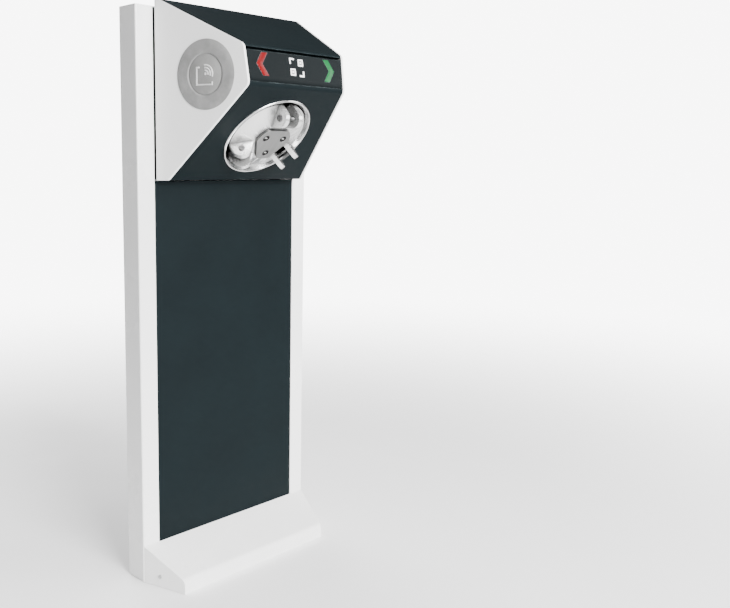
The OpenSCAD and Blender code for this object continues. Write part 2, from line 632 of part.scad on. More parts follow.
// A spur gear with straight-sided teeth that leave working clearance, one tooth on +X.
function gear_outline(m, z) = [for (i = [0:z - 1], k = [0:3]) let(
    r = k == 0 || k == 3 ? m * (z / 2 - 1.15) : m * (z / 2 + 0.8),
    w = k == 0 ? -0.27 : k == 1 ? -0.11 : k == 2 ? 0.11 : 0.27,
    a = (i + w) * 360 / z)
  r * [cos(a), sin(a)]];
module damper_gear() color(grey) on_axis(gear_h) difference() {
  union() {
    linear_extrude(gear_t) rotate([0, 0, 90]) polygon(gear_outline(gear_module, gear_teeth));
    translate([0, 0, wheel_h + wheel_t - gear_h + 0.1]) cylinder(r = 18, h = gear_h - wheel_h - wheel_t);
  }
  translate([0, 0, -8]) cylinder(r = shaft_r + running, h = 20);
}
module sensor_disc() color(black) on_axis(disc_h) difference() {
  union() {
    cylinder(r = 40, h = 1.2, $fn = 96);
    cylinder(r = 18, h = wheel_h - disc_h - 0.1);
  }
  translate([0, 0, -1]) cylinder(r = shaft_r + running, h = 12);
  for (i = [0:11]) rotate([0, 0, i * 30 + 15]) translate([31, -2, -1]) cube([6, 4, 4]);
}
race = 2.2;
ball_r = (bearing_r - shaft_r - 2 * race) / 2 - running;
module bearing_inner_rings() color(steel) on_axis() for (h = bearing_h) translate([0, 0, h])
  tube(shaft_r + race, shaft_r + running, bearing_w);
module bearing_outer_rings() color(steel) on_axis() for (h = bearing_h) translate([0, 0, h])
  tube(bearing_r, bearing_r - race, bearing_w);
module bearing_balls() color(steel) on_axis() for (h = bearing_h, i = [0:9]) rotate([0, 0, i * 36])
  translate([(bearing_r + shaft_r) / 2, 0, h + bearing_w / 2]) sphere(r = ball_r, $fn = 24);

// Fixed mechanism.
mech_x = pawl_x + 13;
mech_lo = -60;
mech_hi = 88;
module bearing_housing() color(grey) on_axis() difference() {
  union() {
    translate([0, 0, bearing_h[1] - 2]) cylinder(r = bearing_r + 6, h = mech_h - bearing_h[1] + 2 - 0.1);
    translate([0, 0, mech_h - 6]) cylinder(r = bearing_r + 18, h = 5.9);
  }
  translate([0, 0, bearing_h[1] - eps]) cylinder(r = bearing_r + running, h = 60);
  translate([0, 0, bearing_h[1] - 4]) cylinder(r = bearing_r - 4, h = 8);
  for (a = housing_bolts) rotate([0, 0, a]) translate([bolt_ring, 0, mech_h - 10])
    cylinder(r = bolt_r + 0.2, h = 14);
  // Room for the damper
  translate([0, -damper_at, mech_h - 10]) cylinder(r = damper_r + 0.4, h = 14);
}
housing_bolts = [45:90:315];
bolt_ring = bearing_r + 12;
bolt_r = 2.5;
module mechanism_plate() color(zinc) on_axis(mech_h) difference() {
  translate([-mech_x, mech_lo, 0]) cube([2 * mech_x, mech_hi - mech_lo, mech_t]);
  translate([0, 0, -1]) cylinder(r = bearing_r - 4, h = mech_t + 2);
  for (a = housing_bolts) rotate([0, 0, a]) translate([bolt_ring, 0, -1])
    cylinder(r = bolt_r + 0.2, h = mech_t + 2);
  for (side = [-1, 1]) translate([side * pawl_x, 0, -1]) cylinder(r = pawl_pin_r + running, h = mech_t + 2);
  translate([0, -damper_at, -1]) cylinder(r = 3.5, h = mech_t + 2);
}
module mechanism_bolts() color(steel) on_axis() for (a = housing_bolts) rotate([0, 0, a])
  translate([bolt_ring, 0, 0]) {
    translate([0, 0, mech_h - 9]) cylinder(r = bolt_r, h = mech_t + 9 + eps);
    translate([0, 0, mech_h + mech_t + 0.1]) cylinder(r = 4.2, h = 1.6);
    translate([0, 0, mech_h - 10]) cylinder(r = 4.6, h = 3.8, $fn = 6);
  }
// A point of the rotor's frame in Y and Z.
function axis_yz(u, h) = [rotor_y - (u + h) * cos(45), rotor_z + (u - h) * sin(45)];
side_low = axis_yz(mech_lo, mech_h).y - 10;
module mechanism_sides() color(zinc) for (side = [-1, 1]) difference() {
  union() {
    along_x([[-0.4, side_low], axis_yz(mech_lo, mech_h - 0.2), axis_yz(mech_hi, mech_h - 0.2),
      [-60, head_top - 95], [-0.4, head_top - 95]], side * (mech_x - 2) - 2, side * (mech_x - 2) + 2);
    block(min(side * (mech_x - 4), side * (mech_x - 24)), -3.4, side_low,
      max(side * (mech_x - 4), side * (mech_x - 24)), -0.4, head_top - 95);
  }
  for (z = head_bolt_z) translate([side * (mech_x - 14), -5, z]) rotate([-90, 0, 0]) cylinder(r = 3.3, h = 8);
  // Lightening hole
  translate([side * mech_x - 10, -45, head_top - 135]) rotate([0, 90, 0]) cylinder(r = 20, h = 20);
}
head_bolt_z = [axis_yz(mech_lo, mech_h).y + 8, head_top - 110];
module head_back_plate() color(zinc) difference() {
  block(-panel_half + 0.5, 1, head_bottom + 1, panel_half - 0.5, 4, column_h - 3);
  for (side = [-1, 1], z = head_bolt_z) translate([side * (mech_x - 14), 0, z]) rotate([-90, 0, 0])
    cylinder(r = 3.3, h = 8);
  translate([loom_x, 0, loom_top]) rotate([-90, 0, 0]) cylinder(r = 14, h = 8);
}
module head_bolts() color(steel) for (side = [-1, 1], z = head_bolt_z) translate([side * (mech_x - 14), 0, z])
  rotate([-90, 0, 0]) {
    translate([0, 0, -4]) cylinder(r = 3, h = 12);
    translate([0, 0, -7.5]) cylinder(r = 5, h = 4);
    translate([0, 0, 4.1]) cylinder(r = 6, h = 3.5, $fn = 6);
    translate([0, 0, -0.4 + eps]) cylinder(r = 5, h = 1.4 - 2 * eps);
  }

// Damper.
damper_at = gear_module * (gear_teeth + pinion_teeth) / 2;
damper_r = 13;
module damper_body() color(black) on_axis() translate([0, -damper_at, 0]) {
  translate([0, 0, gear_h + gear_t + 1]) difference() {
    cylinder(r = damper_r, h = mech_h - gear_h - gear_t - 1.1);
    translate([0, 0, -1]) cylinder(r = 3 + running, h = 8);
  }
  translate([0, 0, mech_h - 0.2]) cylinder(r = 3.4, h = mech_t + 1);
}
module damper_pinion() color(grey) on_axis() translate([0, -damper_at, gear_h - 0.5]) {
  linear_extrude(gear_t + 1) rotate([0, 0, 90 + 180 / pinion_teeth])
    polygon(gear_outline(gear_module, pinion_teeth));
  cylinder(r = 3, h = gear_t + 7);
}

// Pawls and solenoids.
solenoid_x = 27;
pawl_h = wheel_h;
module pawl(side) color(steel) on_axis(pawl_h) translate([side * pawl_x, 0, 0]) difference() {
  union() {
    cylinder(r = 9, h = wheel_t);
    linear_extrude(wheel_t) polygon([for (p = [[-7, 0], [-5, pawl_push_l + 7], [3, pawl_push_l + 7], [8, 0],
      [6, -pawl_nose_l - 5], [nose_x - pawl_x, -pawl_nose_l - 5], [nose_x - pawl_x, -pawl_nose_l + 3],
      [-5, -pawl_nose_l + 8]]) [side * p.x, p.y]]);
  }
  translate([0, 0, -1]) cylinder(r = pawl_pin_r + running, h = wheel_t + 2);
}
module pawl_left() pawl(-1);
module pawl_right() pawl(1);
module pawl_pins() color(zinc) on_axis() for (side = [-1, 1]) translate([side * pawl_x, 0, 0]) {
  translate([0, 0, pawl_h - 5]) cylinder(r = pawl_pin_r, h = mech_h + mech_t - pawl_h + 5);
  translate([0, 0, pawl_h + wheel_t + 0.5]) cylinder(r = 7, h = 3);
  translate([0, 0, pawl_h - 3]) cylinder(r = 7, h = 2.5);
}
module pawl_springs() color(steel) on_axis(pawl_h + wheel_t + 4) for (side = [-1, 1])
  translate([side * pawl_x, 0, 0]) for (i = [0:4]) translate([0, 0, 0.8 + i * 1.5])
    rotate_extrude() translate([pawl_pin_r + 1.5, 0]) circle(r = 0.76, $fn = 16);
sol_h = pawl_h + wheel_t / 2;
plunger_rest = pawl_x - 9.7;
module solenoids() color([0.25, 0.27, 0.35]) on_axis() for (side = [-1, 1]) {
  difference() {
    translate([side * solenoid_x - 16, pawl_push_l - 12, sol_h - 12]) cube([32, 24, 24]);
    translate([side * solenoid_x, pawl_push_l, sol_h]) rotate([0, side * 90, 0]) translate([0, 0, -6])
      cylinder(r = 4 + running, h = 40);
  }
  translate([side * solenoid_x - 10, pawl_push_l - 9, sol_h + 12 - eps]) cube([20, 18, mech_h - sol_h - 12]);
}
module plunger(side) color(steel) on_axis() translate([side * plunger_rest, pawl_push_l, sol_h])
  rotate([0, -side * 90, 0]) {
    translate([0, 0, 4]) cylinder(r = 4, h = plunger_rest - solenoid_x - 4);
    sphere(r = 4, $fn = 32);
    cylinder(r = 4, h = 4 + eps);
  }
module plunger_left() plunger(-1);
module plunger_right() plunger(1);
module sensor_fork() color(black) on_axis() {
  translate([0, 60, disc_h - 4]) cylinder(r = 4, h = mech_h - disc_h + 4);
  difference() {
    translate([-5, 34, disc_h - 5]) cube([10, 26, 9.5]);
    translate([-6, 30, disc_h - 1.5]) cube([12, 14, 4.2]);
  }
}

// Electronics in the column.
board_z = 420;
module control_board() color([0.1, 0.35, 0.2]) {
  block(-board_w / 2, 34, board_z, board_w / 2, 35.6, board_z + board_h);
  for (i = [0:5]) block(-board_w / 2 + 8 + i * 24, 26, board_z + 6, -board_w / 2 + 28 + i * 24, 34 + eps,
    board_z + 16);
  block(-18, 31, board_z + 80, 12, 34 + eps, board_z + 110);
  for (x = [-50, 40]) translate([x, 34 + eps, board_z + 140]) rotate([90, 0, 0]) cylinder(r = 8, h = 9);
}
module board_standoffs() color(zinc) for (sx = [-1, 1], z = [board_z + 8, board_z + board_h - 8])
  translate([sx * (board_w / 2 - 6), 35.7, z]) rotate([-90, 0, 0]) cylinder(r = 3, h = rear_y - 35.9);
module power_supply() color([0.75, 0.76, 0.76]) difference() {
  block(-60, 22, 240, 60, rear_y - 0.3, 380);
  for (i = [0:7]) block(-50, 20, 256 + i * 14, 50, 23.5, 262 + i * 14);
}
loom_x = -110;
loom_top = head_bottom + 60;
loom_y = 30;
module wiring_loom() color(black) {
  translate([loom_x, loom_y, 300]) cylinder(r = 5, h = loom_top - 300);
  translate([loom_x, loom_y, loom_top]) sphere(r = 5, $fn = 32);
  translate([loom_x, loom_y, loom_top]) rotate([90, 0, 0]) cylinder(r = 5, h = loom_y + 20);
  translate([loom_x, loom_y, 300]) sphere(r = 5, $fn = 32);
  translate([loom_x, loom_y, 300]) rotate([0, 90, 0]) cylinder(r = 5, h = -60.3 - loom_x);
  translate([loom_x, loom_y, board_z + 60]) rotate([0, 90, 0])
    cylinder(r = 3, h = -board_w / 2 - loom_x - 0.3);
  // Clips that hold the loom on the rear cover
  for (z = [340, 560, 700]) block(loom_x - 9, loom_y - 8, z, loom_x + 9, rear_y - 0.3, z + 12);
}
module lock_body() color(steel) translate([0, 0, column_h - lock_drop]) rotate([-90, 0, 0]) difference() {
  union() {
    translate([0, 0, rear_y - 22]) cylinder(r = lock_r + 2, h = 22.2 + sheet_t);
    translate([0, 0, column_d + 0.1]) cylinder(r = lock_r + 5, h = 2);
    translate([0, 0, rear_y - 5]) cylinder(r = lock_r + 6, h = 4.7, $fn = 6);
  }
  translate([0, 0, rear_y - 30]) cylinder(r = lock_r + running, h = 60);
}
module lock_barrel() color(zinc) translate([0, 0, column_h - lock_drop]) rotate([-90, 0, 0]) {
  difference() {
    translate([0, 0, rear_y - 24]) cylinder(r = lock_r, h = 25 + sheet_t);
    translate([-1.2, -5, column_d - 6]) cube([2.4, 10, 10]);
  }
  translate([-6, -6, rear_y - 25.9]) cube([12, 32, 2]);
  translate([0, 0, rear_y - 26]) cylinder(r = 8, h = 3);
}

base_plate();
cable_grommet();
base_cover();
base_cover_screws();
column_body();
rear_cover();
rear_cover_screws();
column_top_cap();
front_panel();
head_back_plate();
head_bolts();
hood();
side_panel_left();
side_panel_right();
indicator_band();
chevron_red();
chevron_green();
band_icon();
indicator_board();
reader_disc_left();
reader_disc_right();
reader_board_left();
reader_board_right();
bezel_ring();
rotor_body();
fork_pins();
hub_cap();
hub_screws();
rotor_shaft();
shaft_nut();
lock_wheel();
damper_gear();
sensor_disc();
bearing_inner_rings();
bearing_outer_rings();
bearing_balls();
bearing_housing();
mechanism_plate();
mechanism_sides();
mechanism_bolts();
damper_body();
damper_pinion();
pawl_left();
pawl_right();
pawl_pins();
pawl_springs();
solenoids();
plunger_left();
plunger_right();
sensor_fork();
control_board();
board_standoffs();
power_supply();
wiring_loom();
lock_body();
lock_barrel();
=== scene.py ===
import bpy
import json
import math
from mathutils import Matrix, Vector


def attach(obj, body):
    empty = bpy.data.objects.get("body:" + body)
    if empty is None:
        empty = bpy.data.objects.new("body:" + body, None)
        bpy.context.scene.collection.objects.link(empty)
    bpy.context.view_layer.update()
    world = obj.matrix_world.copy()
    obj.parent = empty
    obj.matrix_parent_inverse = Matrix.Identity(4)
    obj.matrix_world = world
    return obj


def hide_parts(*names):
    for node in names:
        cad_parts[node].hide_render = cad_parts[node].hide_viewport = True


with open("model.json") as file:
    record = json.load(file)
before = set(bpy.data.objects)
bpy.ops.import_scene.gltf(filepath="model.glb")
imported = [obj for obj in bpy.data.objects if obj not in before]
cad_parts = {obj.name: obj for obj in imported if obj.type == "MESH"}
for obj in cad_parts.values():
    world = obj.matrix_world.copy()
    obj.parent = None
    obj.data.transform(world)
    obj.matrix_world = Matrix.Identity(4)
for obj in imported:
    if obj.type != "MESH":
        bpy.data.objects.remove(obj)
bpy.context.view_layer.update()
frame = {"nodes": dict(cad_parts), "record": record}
nodes = frame["nodes"]
print("frame loaded")


def clearSelection():
    if bpy.context.object and bpy.context.object.mode != "OBJECT":
        bpy.ops.object.mode_set(mode="OBJECT")
    bpy.ops.object.select_all(action="DESELECT")


def pick(piece):
    clearSelection()
    piece.select_set(True)
    bpy.context.view_layer.objects.active = piece


def useModifier(piece, kind, **settings):
    pick(piece)
    modifier = piece.modifiers.new(kind.title(), kind)
    for key, value in settings.items():
        setattr(modifier, key, value)
    bpy.ops.object.modifier_apply(modifier=modifier.name)


def roundEdges(piece, width, segments=2):
    useModifier(piece, "BEVEL", width=width, segments=segments, limit_method="ANGLE",
                angle_limit=math.radians(30), harden_normals=False)


def smoothBy(piece, angle=35):
    pick(piece)
    bpy.ops.object.shade_smooth_by_angle(angle=math.radians(angle))


def settle(piece, place):
    piece.matrix_world = place @ piece.matrix_world
    pick(piece)
    bpy.ops.object.transform_apply(location=True, rotation=True, scale=True)


def finishPiece(piece, name, body, material, stands=()):
    piece.name = name
    piece.data.name = name
    piece.data.materials.clear()
    piece.data.materials.append(material)
    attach(piece, body)
    if stands:
        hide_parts(*stands)
    return piece


def tidyNormals(piece):
    pick(piece)
    bpy.ops.object.mode_set(mode="EDIT")
    bpy.ops.mesh.select_all(action="SELECT")
    bpy.ops.mesh.remove_doubles(threshold=0.00001)
    bpy.ops.mesh.normals_make_consistent(inside=False)
    bpy.ops.object.mode_set(mode="OBJECT")


# a ring of points swept through (radius, height) stops; capEnd closes the last ring with a face
def turnProfile(stops, steps=96, capEnd=False):
    clearSelection()
    r0, h0 = stops[0]
    bpy.ops.mesh.primitive_circle_add(vertices=steps, radius=r0, location=(0, 0, h0), fill_type="NOTHING")
    piece = bpy.context.object
    bpy.ops.object.transform_apply(location=True, rotation=True, scale=True)
    bpy.ops.object.mode_set(mode="EDIT")
    bpy.ops.mesh.select_all(action="SELECT")
    for r1, h1 in stops[1:]:
        bpy.ops.mesh.extrude_region_move()
        bpy.ops.transform.resize(value=(r1 / r0, r1 / r0, 1), center_override=(0, 0, 0))
        bpy.ops.transform.translate(value=(0, 0, h1 - h0))
        r0, h0 = r1, h1
    if capEnd:
        bpy.ops.mesh.edge_face_add()
    bpy.ops.object.mode_set(mode="OBJECT")
    tidyNormals(piece)
    return piece


# a flat outline pushed up to a height
def pushOutline(points, low, high):
    clearSelection()
    bpy.ops.mesh.primitive_circle_add(vertices=len(points), radius=0.01, fill_type="NGON")
    piece = bpy.context.object
    for vertex, point in zip(piece.data.vertices, points):
        vertex.co = (point[0], point[1], low)
    bpy.ops.object.mode_set(mode="EDIT")
    bpy.ops.mesh.select_all(action="SELECT")
    bpy.ops.mesh.extrude_region_move()
    bpy.ops.transform.translate(value=(0, 0, high - low))
    bpy.ops.object.mode_set(mode="OBJECT")
    tidyNormals(piece)
    return piece


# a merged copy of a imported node, with its sharp edges rounded and its curves smoothed
def dress(node, body, slot, material, edge, segments=2):
    piece = nodes[node].copy()
    piece.data = nodes[node].data.copy()
    bpy.context.scene.collection.objects.link(piece)
    for key in list(piece.keys()):
        if key.startswith("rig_"):
            del piece[key]
    piece.parent = None
    tidyDoubles(piece)
    roundEdges(piece, edge, segments)
    smoothBy(piece, 32)
    useModifier(piece, "WEIGHTED_NORMAL", weight=100, keep_sharp=True)
    return finishPiece(piece, node + "_finished", body, material, [node])


def tidyDoubles(piece):
    pick(piece)
    bpy.ops.object.mode_set(mode="EDIT")
    bpy.ops.mesh.select_all(action="SELECT")
    bpy.ops.mesh.remove_doubles(threshold=0.000004)
    bpy.ops.mesh.dissolve_limited(angle_limit=math.radians(0.4))
    bpy.ops.object.mode_set(mode="OBJECT")


# shared shader groups
def newGroup(name, inputs, outputs):
    group = bpy.data.node_groups.new(name, "ShaderNodeTree")
    for label, kind, value in inputs:
        socket = group.interface.new_socket(name=label, in_out="INPUT", socket_type="NodeSocket" + kind)
        if value is not None:
            socket.default_value = value
    for label, kind in outputs:
        group.interface.new_socket(name=label, in_out="OUTPUT", socket_type="NodeSocket" + kind)
    start = group.nodes.new("NodeGroupInput")
    end = group.nodes.new("NodeGroupOutput")
    return group, start, end


def put(tree, kind, **values):
    made = tree.nodes.new("ShaderNode" + kind)
    for key, value in values.items():
        if hasattr(made, key):
            setattr(made, key, value)
        else:
            made.inputs[key].default_value = value
    return made


def mathNode(tree, operation, a, b=None, clamp=False):
    made = tree.nodes.new("ShaderNodeMath")
    made.operation = operation
    made.use_clamp = clamp
    for index, value in enumerate((a, b)):
        if value is None:
            continue
        if isinstance(value, (int, float)):
            made.inputs[index].default_value = value
        else:
            tree.links.new(value, made.inputs[index])
    return made.outputs[0]


def ranged(tree, value, low, high, outLow, outHigh, soft=False):
    made = tree.nodes.new("ShaderNodeMapRange")
    made.interpolation_type = "SMOOTHSTEP" if soft else "LINEAR"
    tree.links.new(value, made.inputs["Value"])
    for label, item in (("From Min", low), ("From Max", high), ("To Min", outLow), ("To Max", outHigh)):
        if isinstance(item, (int, float)):
            made.inputs[label].default_value = item
        else:
            tree.links.new(item, made.inputs[label])
    return made.outputs["Result"]


def mixed(tree, factor, a, b):
    made = tree.nodes.new("ShaderNodeMix")
    made.data_type = "RGBA"
    for index, value in ((0, factor), (6, a), (7, b)):
        if isinstance(value, (int, float, tuple)):
            made.inputs[index].default_value = value
        else:
            tree.links.new(value, made.inputs[index])
    return made.outputs[2]


def buildCoatSkin():
    group, start, end = newGroup("coatSkin", [
        ("Vector", "Vector", None), ("Colour", "Color", (1, 1, 1, 1)), ("Shade", "Color", (0.8, 0.8, 0.8, 1)),
        ("Mottle Scale", "Float", 6.0), ("Peel Scale", "Float", 900.0),
        ("Rough Low", "Float", 0.25), ("Rough High", "Float", 0.4)],
        [("Colour", "Color"), ("Roughness", "Float"), ("Height", "Float")])
    link = group.links.new
    cloud = put(group, "TexNoise", Detail=4.0, Roughness=0.6)
    link(start.outputs["Vector"], cloud.inputs["Vector"])
    link(start.outputs["Mottle Scale"], cloud.inputs["Scale"])
    peel = put(group, "TexNoise", Detail=2.0, Roughness=0.5)
    link(start.outputs["Vector"], peel.inputs["Vector"])
    link(start.outputs["Peel Scale"], peel.inputs["Scale"])
    speck = put(group, "TexVoronoi")
    link(start.outputs["Vector"], speck.inputs["Vector"])
    link(mathNode(group, "MULTIPLY", start.outputs["Peel Scale"], 0.6), speck.inputs["Scale"])
    soft = ranged(group, cloud.outputs["Fac"], 0.35, 0.68, 0.0, 1.0)
    link(mixed(group, soft, start.outputs["Colour"], start.outputs["Shade"]), end.inputs["Colour"])
    peelPart = mathNode(group, "MULTIPLY", peel.outputs["Fac"], 0.25)
    fine = mathNode(group, "ADD", peelPart, mathNode(group, "MULTIPLY", soft, 0.75))
    link(ranged(group, fine, 0.0, 1.0, start.outputs["Rough Low"], start.outputs["Rough High"]),
         end.inputs["Roughness"])
    speckPart = mathNode(group, "MULTIPLY", speck.outputs["Distance"], 0.3)
    link(mathNode(group, "ADD", peel.outputs["Fac"], speckPart), end.inputs["Height"])
    return group


# lighter rounded edges: partly edge wear, partly a painted highlight along the bevels
def buildEdgeWearAndHighlight():
    group, start, end = newGroup("edgeWearAndHighlight", [
        ("Vector", "Vector", None), ("Patch Scale", "Float", 40.0)], [("Mask", "Float")])
    link = group.links.new
    bend = put(group, "Bevel", samples=4, Radius=0.0012)
    flat = put(group, "NewGeometry")
    dot = put(group, "VectorMath", operation="DOT_PRODUCT")
    link(bend.outputs["Normal"], dot.inputs[0])
    link(flat.outputs["Normal"], dot.inputs[1])
    edge = ranged(group, dot.outputs["Value"], 0.99, 0.86, 0.0, 1.0)
    patch = put(group, "TexNoise", Detail=5.0, Roughness=0.65)
    link(start.outputs["Vector"], patch.inputs["Vector"])
    link(start.outputs["Patch Scale"], patch.inputs["Scale"])
    patchy = ranged(group, patch.outputs["Fac"], 0.4, 0.7, 0.15, 1.0)
    link(mathNode(group, "MULTIPLY", edge, patchy, True), end.inputs["Mask"])
    return group


def buildFloorDust():
    group, start, end = newGroup("floorDust", [
        ("Vector", "Vector", None), ("Reach", "Float", 0.12)], [("Mask", "Float")])
    link = group.links.new
    parts = put(group, "SeparateXYZ")
    link(start.outputs["Vector"], parts.inputs[0])
    low = ranged(group, parts.outputs["Z"], 0.0, start.outputs["Reach"], 1.0, 0.0)
    cloud = put(group, "TexNoise", Scale=22.0, Detail=6.0, Roughness=0.7)
    link(start.outputs["Vector"], cloud.inputs["Vector"])
    patches = ranged(group, cloud.outputs["Fac"], 0.35, 0.75, 0.0, 1.0)
    link(mathNode(group, "MULTIPLY", low, patches, True), end.inputs["Mask"])
    return group


def buildBrushLines():
    group, start, end = newGroup("brushLines", [
        ("Vector", "Vector", None), ("Stretch", "Vector", (3.0, 900.0, 900.0))],
        [("Tone", "Float"), ("Height", "Float")])
    link = group.links.new
    scaled = put(group, "VectorMath", operation="MULTIPLY")
    link(start.outputs["Vector"], scaled.inputs[0])
    link(start.outputs["Stretch"], scaled.inputs[1])
    lines = put(group, "TexNoise", Scale=1.0, Detail=6.0, Roughness=0.7)
    link(scaled.outputs[0], lines.inputs["Vector"])
    cloud = put(group, "TexNoise", Scale=14.0, Detail=3.0)
    link(start.outputs["Vector"], cloud.inputs["Vector"])
    linePart = mathNode(group, "MULTIPLY", lines.outputs["Fac"], 0.7)
    cloudPart = mathNode(group, "MULTIPLY", cloud.outputs["Fac"], 0.3)
    link(mathNode(group, "ADD", linePart, cloudPart), end.inputs["Tone"])
    link(lines.outputs["Fac"], end.inputs["Height"])
    return group


coatSkin = buildCoatSkin()
edgeWearAndHighlight = buildEdgeWearAndHighlight()
floorDust = buildFloorDust()
brushLines = buildBrushLines()
print("shader groups built")


def newMaterial(name, metallic=0.0, coat=0.0, coatRough=0.05, specular=0.5, emission=None, glow=0.0):
    material = bpy.data.materials.new(name)
    material.use_nodes = True
    tree = material.node_tree
    shader = tree.nodes["Principled BSDF"]
    shader.inputs["Metallic"].default_value = metallic
    shader.inputs["Coat Weight"].default_value = coat
    shader.inputs["Coat Roughness"].default_value = coatRough
    shader.inputs["Specular IOR Level"].default_value = specular
    shader.inputs["IOR"].default_value = 1.5
    if emission:
        shader.inputs["Emission Color"].default_value = emission
        shader.inputs["Emission Strength"].default_value = glow
    return material, tree, shader


def objectVector(tree, place=None):
    coords = put(tree, "TexCoord")
    if place is None:
        return coords.outputs["Object"]
    turned = put(tree, "Mapping", vector_type="TEXTURE")
    turned.inputs["Location"].default_value = place.to_translation()
    turned.inputs["Rotation"].default_value = place.to_euler()
    tree.links.new(coords.outputs["Object"], turned.inputs["Vector"])
    return turned.outputs["Vector"]


def useGroup(tree, group, vector, values=None):
    made = tree.nodes.new("ShaderNodeGroup")
    made.node_tree = group
    tree.links.new(vector, made.inputs["Vector"])
    for label, value in (values or {}).items():
        made.inputs[label].default_value = value
    return made


def bumpFrom(tree, shader, height, strength, distance):
    bump = put(tree, "Bump", Strength=strength, Distance=distance)
    tree.links.new(height, bump.inputs["Height"])
    tree.links.new(bump.outputs["Normal"], shader.inputs["Normal"])
    return bump


def coated(name, colour, shade, roughLow, roughHigh, mottle=6.0, peel=900.0, bump=0.08,
           wearAndHighlight=None, dust=None, metallic=0.0, coat=0.0, coatRough=0.05, specular=0.5):
    material, tree, shader = newMaterial(name, metallic, coat, coatRough, specular)
    vector = objectVector(tree)
    skin = useGroup(tree, coatSkin, vector, {
        "Colour": colour, "Shade": shade, "Mottle Scale": mottle, "Peel Scale": peel,
        "Rough Low": roughLow, "Rough High": roughHigh})
    look = skin.outputs["Colour"]
    rough = skin.outputs["Roughness"]
    # edges mixed towards a lighter colour: partly wear, partly a painted highlight
    if wearAndHighlight:
        edge = useGroup(tree, edgeWearAndHighlight, vector)
        amount = mathNode(tree, "MULTIPLY", edge.outputs["Mask"], wearAndHighlight[1])
        look = mixed(tree, amount, look, wearAndHighlight[0])
    if dust:
        low = useGroup(tree, floorDust, vector, {"Reach": dust[1]})
        amount = mathNode(tree, "MULTIPLY", low.outputs["Mask"], dust[2])
        look = mixed(tree, amount, look, dust[0])
        rough = mathNode(tree, "ADD", rough, mathNode(tree, "MULTIPLY", low.outputs["Mask"], 0.15), True)
    tree.links.new(look, shader.inputs["Base Color"])
    tree.links.new(rough, shader.inputs["Roughness"])
    bumpFrom(tree, shader, skin.outputs["Height"], bump, 0.0002)
    return material


# painted shade: darkens the corners of a finish by how closed in they are
def paintCornerShade(material, reach, shadeTone):
    tree = material.node_tree
    shader = tree.nodes["Principled BSDF"]
    look = shader.inputs["Base Color"].links[0].from_socket
    openness = put(tree, "AmbientOcclusion", samples=8, Distance=reach)
    amount = ranged(tree, openness.outputs["AO"], 0.30, 0.93, 1.0, 0.0)
    tree.links.new(mixed(tree, amount, look, shadeTone), shader.inputs["Base Color"])
    return material


def brushed(name, colour, shade, stretch, roughLow, roughHigh, bump=0.06, place=None):
    material, tree, shader = newMaterial(name, metallic=1.0)
    vector = objectVector(tree, place)
    lines = useGroup(tree, brushLines, vector, {"Stretch": stretch})
    edge = useGroup(tree, edgeWearAndHighlight, vector)
    tone = ranged(tree, lines.outputs["Tone"], 0.35, 0.65, 0.0, 1.0)
    look = mixed(tree, tone, colour, shade)
    # edges mixed towards near white: partly wear, partly a painted highlight along the bevels
    look = mixed(tree, mathNode(tree, "MULTIPLY", edge.outputs["Mask"], 0.35), look, (0.95, 0.95, 0.94, 1))
    tree.links.new(look, shader.inputs["Base Color"])
    tree.links.new(ranged(tree, lines.outputs["Tone"], 0.35, 0.65, roughLow, roughHigh),
                   shader.inputs["Roughness"])
    bumpFrom(tree, shader, lines.outputs["Height"], bump, 0.0001)
    return material


# places, in metres, as in the part
head = {"top": 1.050, "backHalf": 0.1684, "taper": 16.4, "brow": 0.0098, "topReach": 0.181,
        "noseReach": 0.191, "topDrop": 0.085, "bandDrop": 0.0645, "footReach": 0.031}
headZ1 = head["top"] - head["topDrop"]
headZ2 = headZ1 - head["bandDrop"]
rotorSpot = {"fromNose": 0.1155}
rotorY = -head["noseReach"] + rotorSpot["fromNose"] * math.cos(math.radians(45))
rotorZ = headZ2 - rotorSpot["fromNose"] * math.sin(math.radians(45))


def headHalf(y):
    return head["backHalf"] + (y + head["brow"]) * math.tan(math.radians(head["taper"]))


def turnX(angle):
    return Matrix.Rotation(math.radians(angle), 4, "X")


def turnZ(angle):
    return Matrix.Rotation(math.radians(angle), 4, "Z")


axisPlace = Matrix.Translation((0, rotorY, rotorZ)) @ turnX(135)
bandLean = math.degrees(math.atan((head["noseReach"] - head["topReach"]) / head["bandDrop"]))
bandPlace = Matrix.Translation((0, -head["topReach"], headZ1)) @ turnX(90 - bandLean)
reader = {"radius": 0.0582, "inner": 0.034, "reach": 0.1097, "drop": 0.132, "proud": 0.0024, "boss": 0.0086}


def sidePlace(side):
    centre = (side * headHalf(-reader["reach"]), -reader["reach"], head["top"] - reader["drop"])
    return (Matrix.Translation(centre) @ turnZ(side * (90 - head["taper"])) @ turnX(90))


# camera
view = {"place": (-1.035, -1.2595, 0.7788), "yaw": 44.46, "down": 7.71, "roll": 0.58, "lens": 41.91,
        "shiftX": 0.085, "shiftY": -0.04}
clearSelection()
bpy.ops.object.camera_add(location=view["place"])
camera = bpy.context.object
camera.rotation_euler = (turnZ(-view["yaw"]) @ turnX(90 - view["down"]) @ turnZ(view["roll"])).to_euler()
camera.data.lens = view["lens"]
camera.data.sensor_width = 36
camera.data.shift_x = view["shiftX"]
camera.data.shift_y = view["shiftY"]
bpy.context.scene.camera = camera

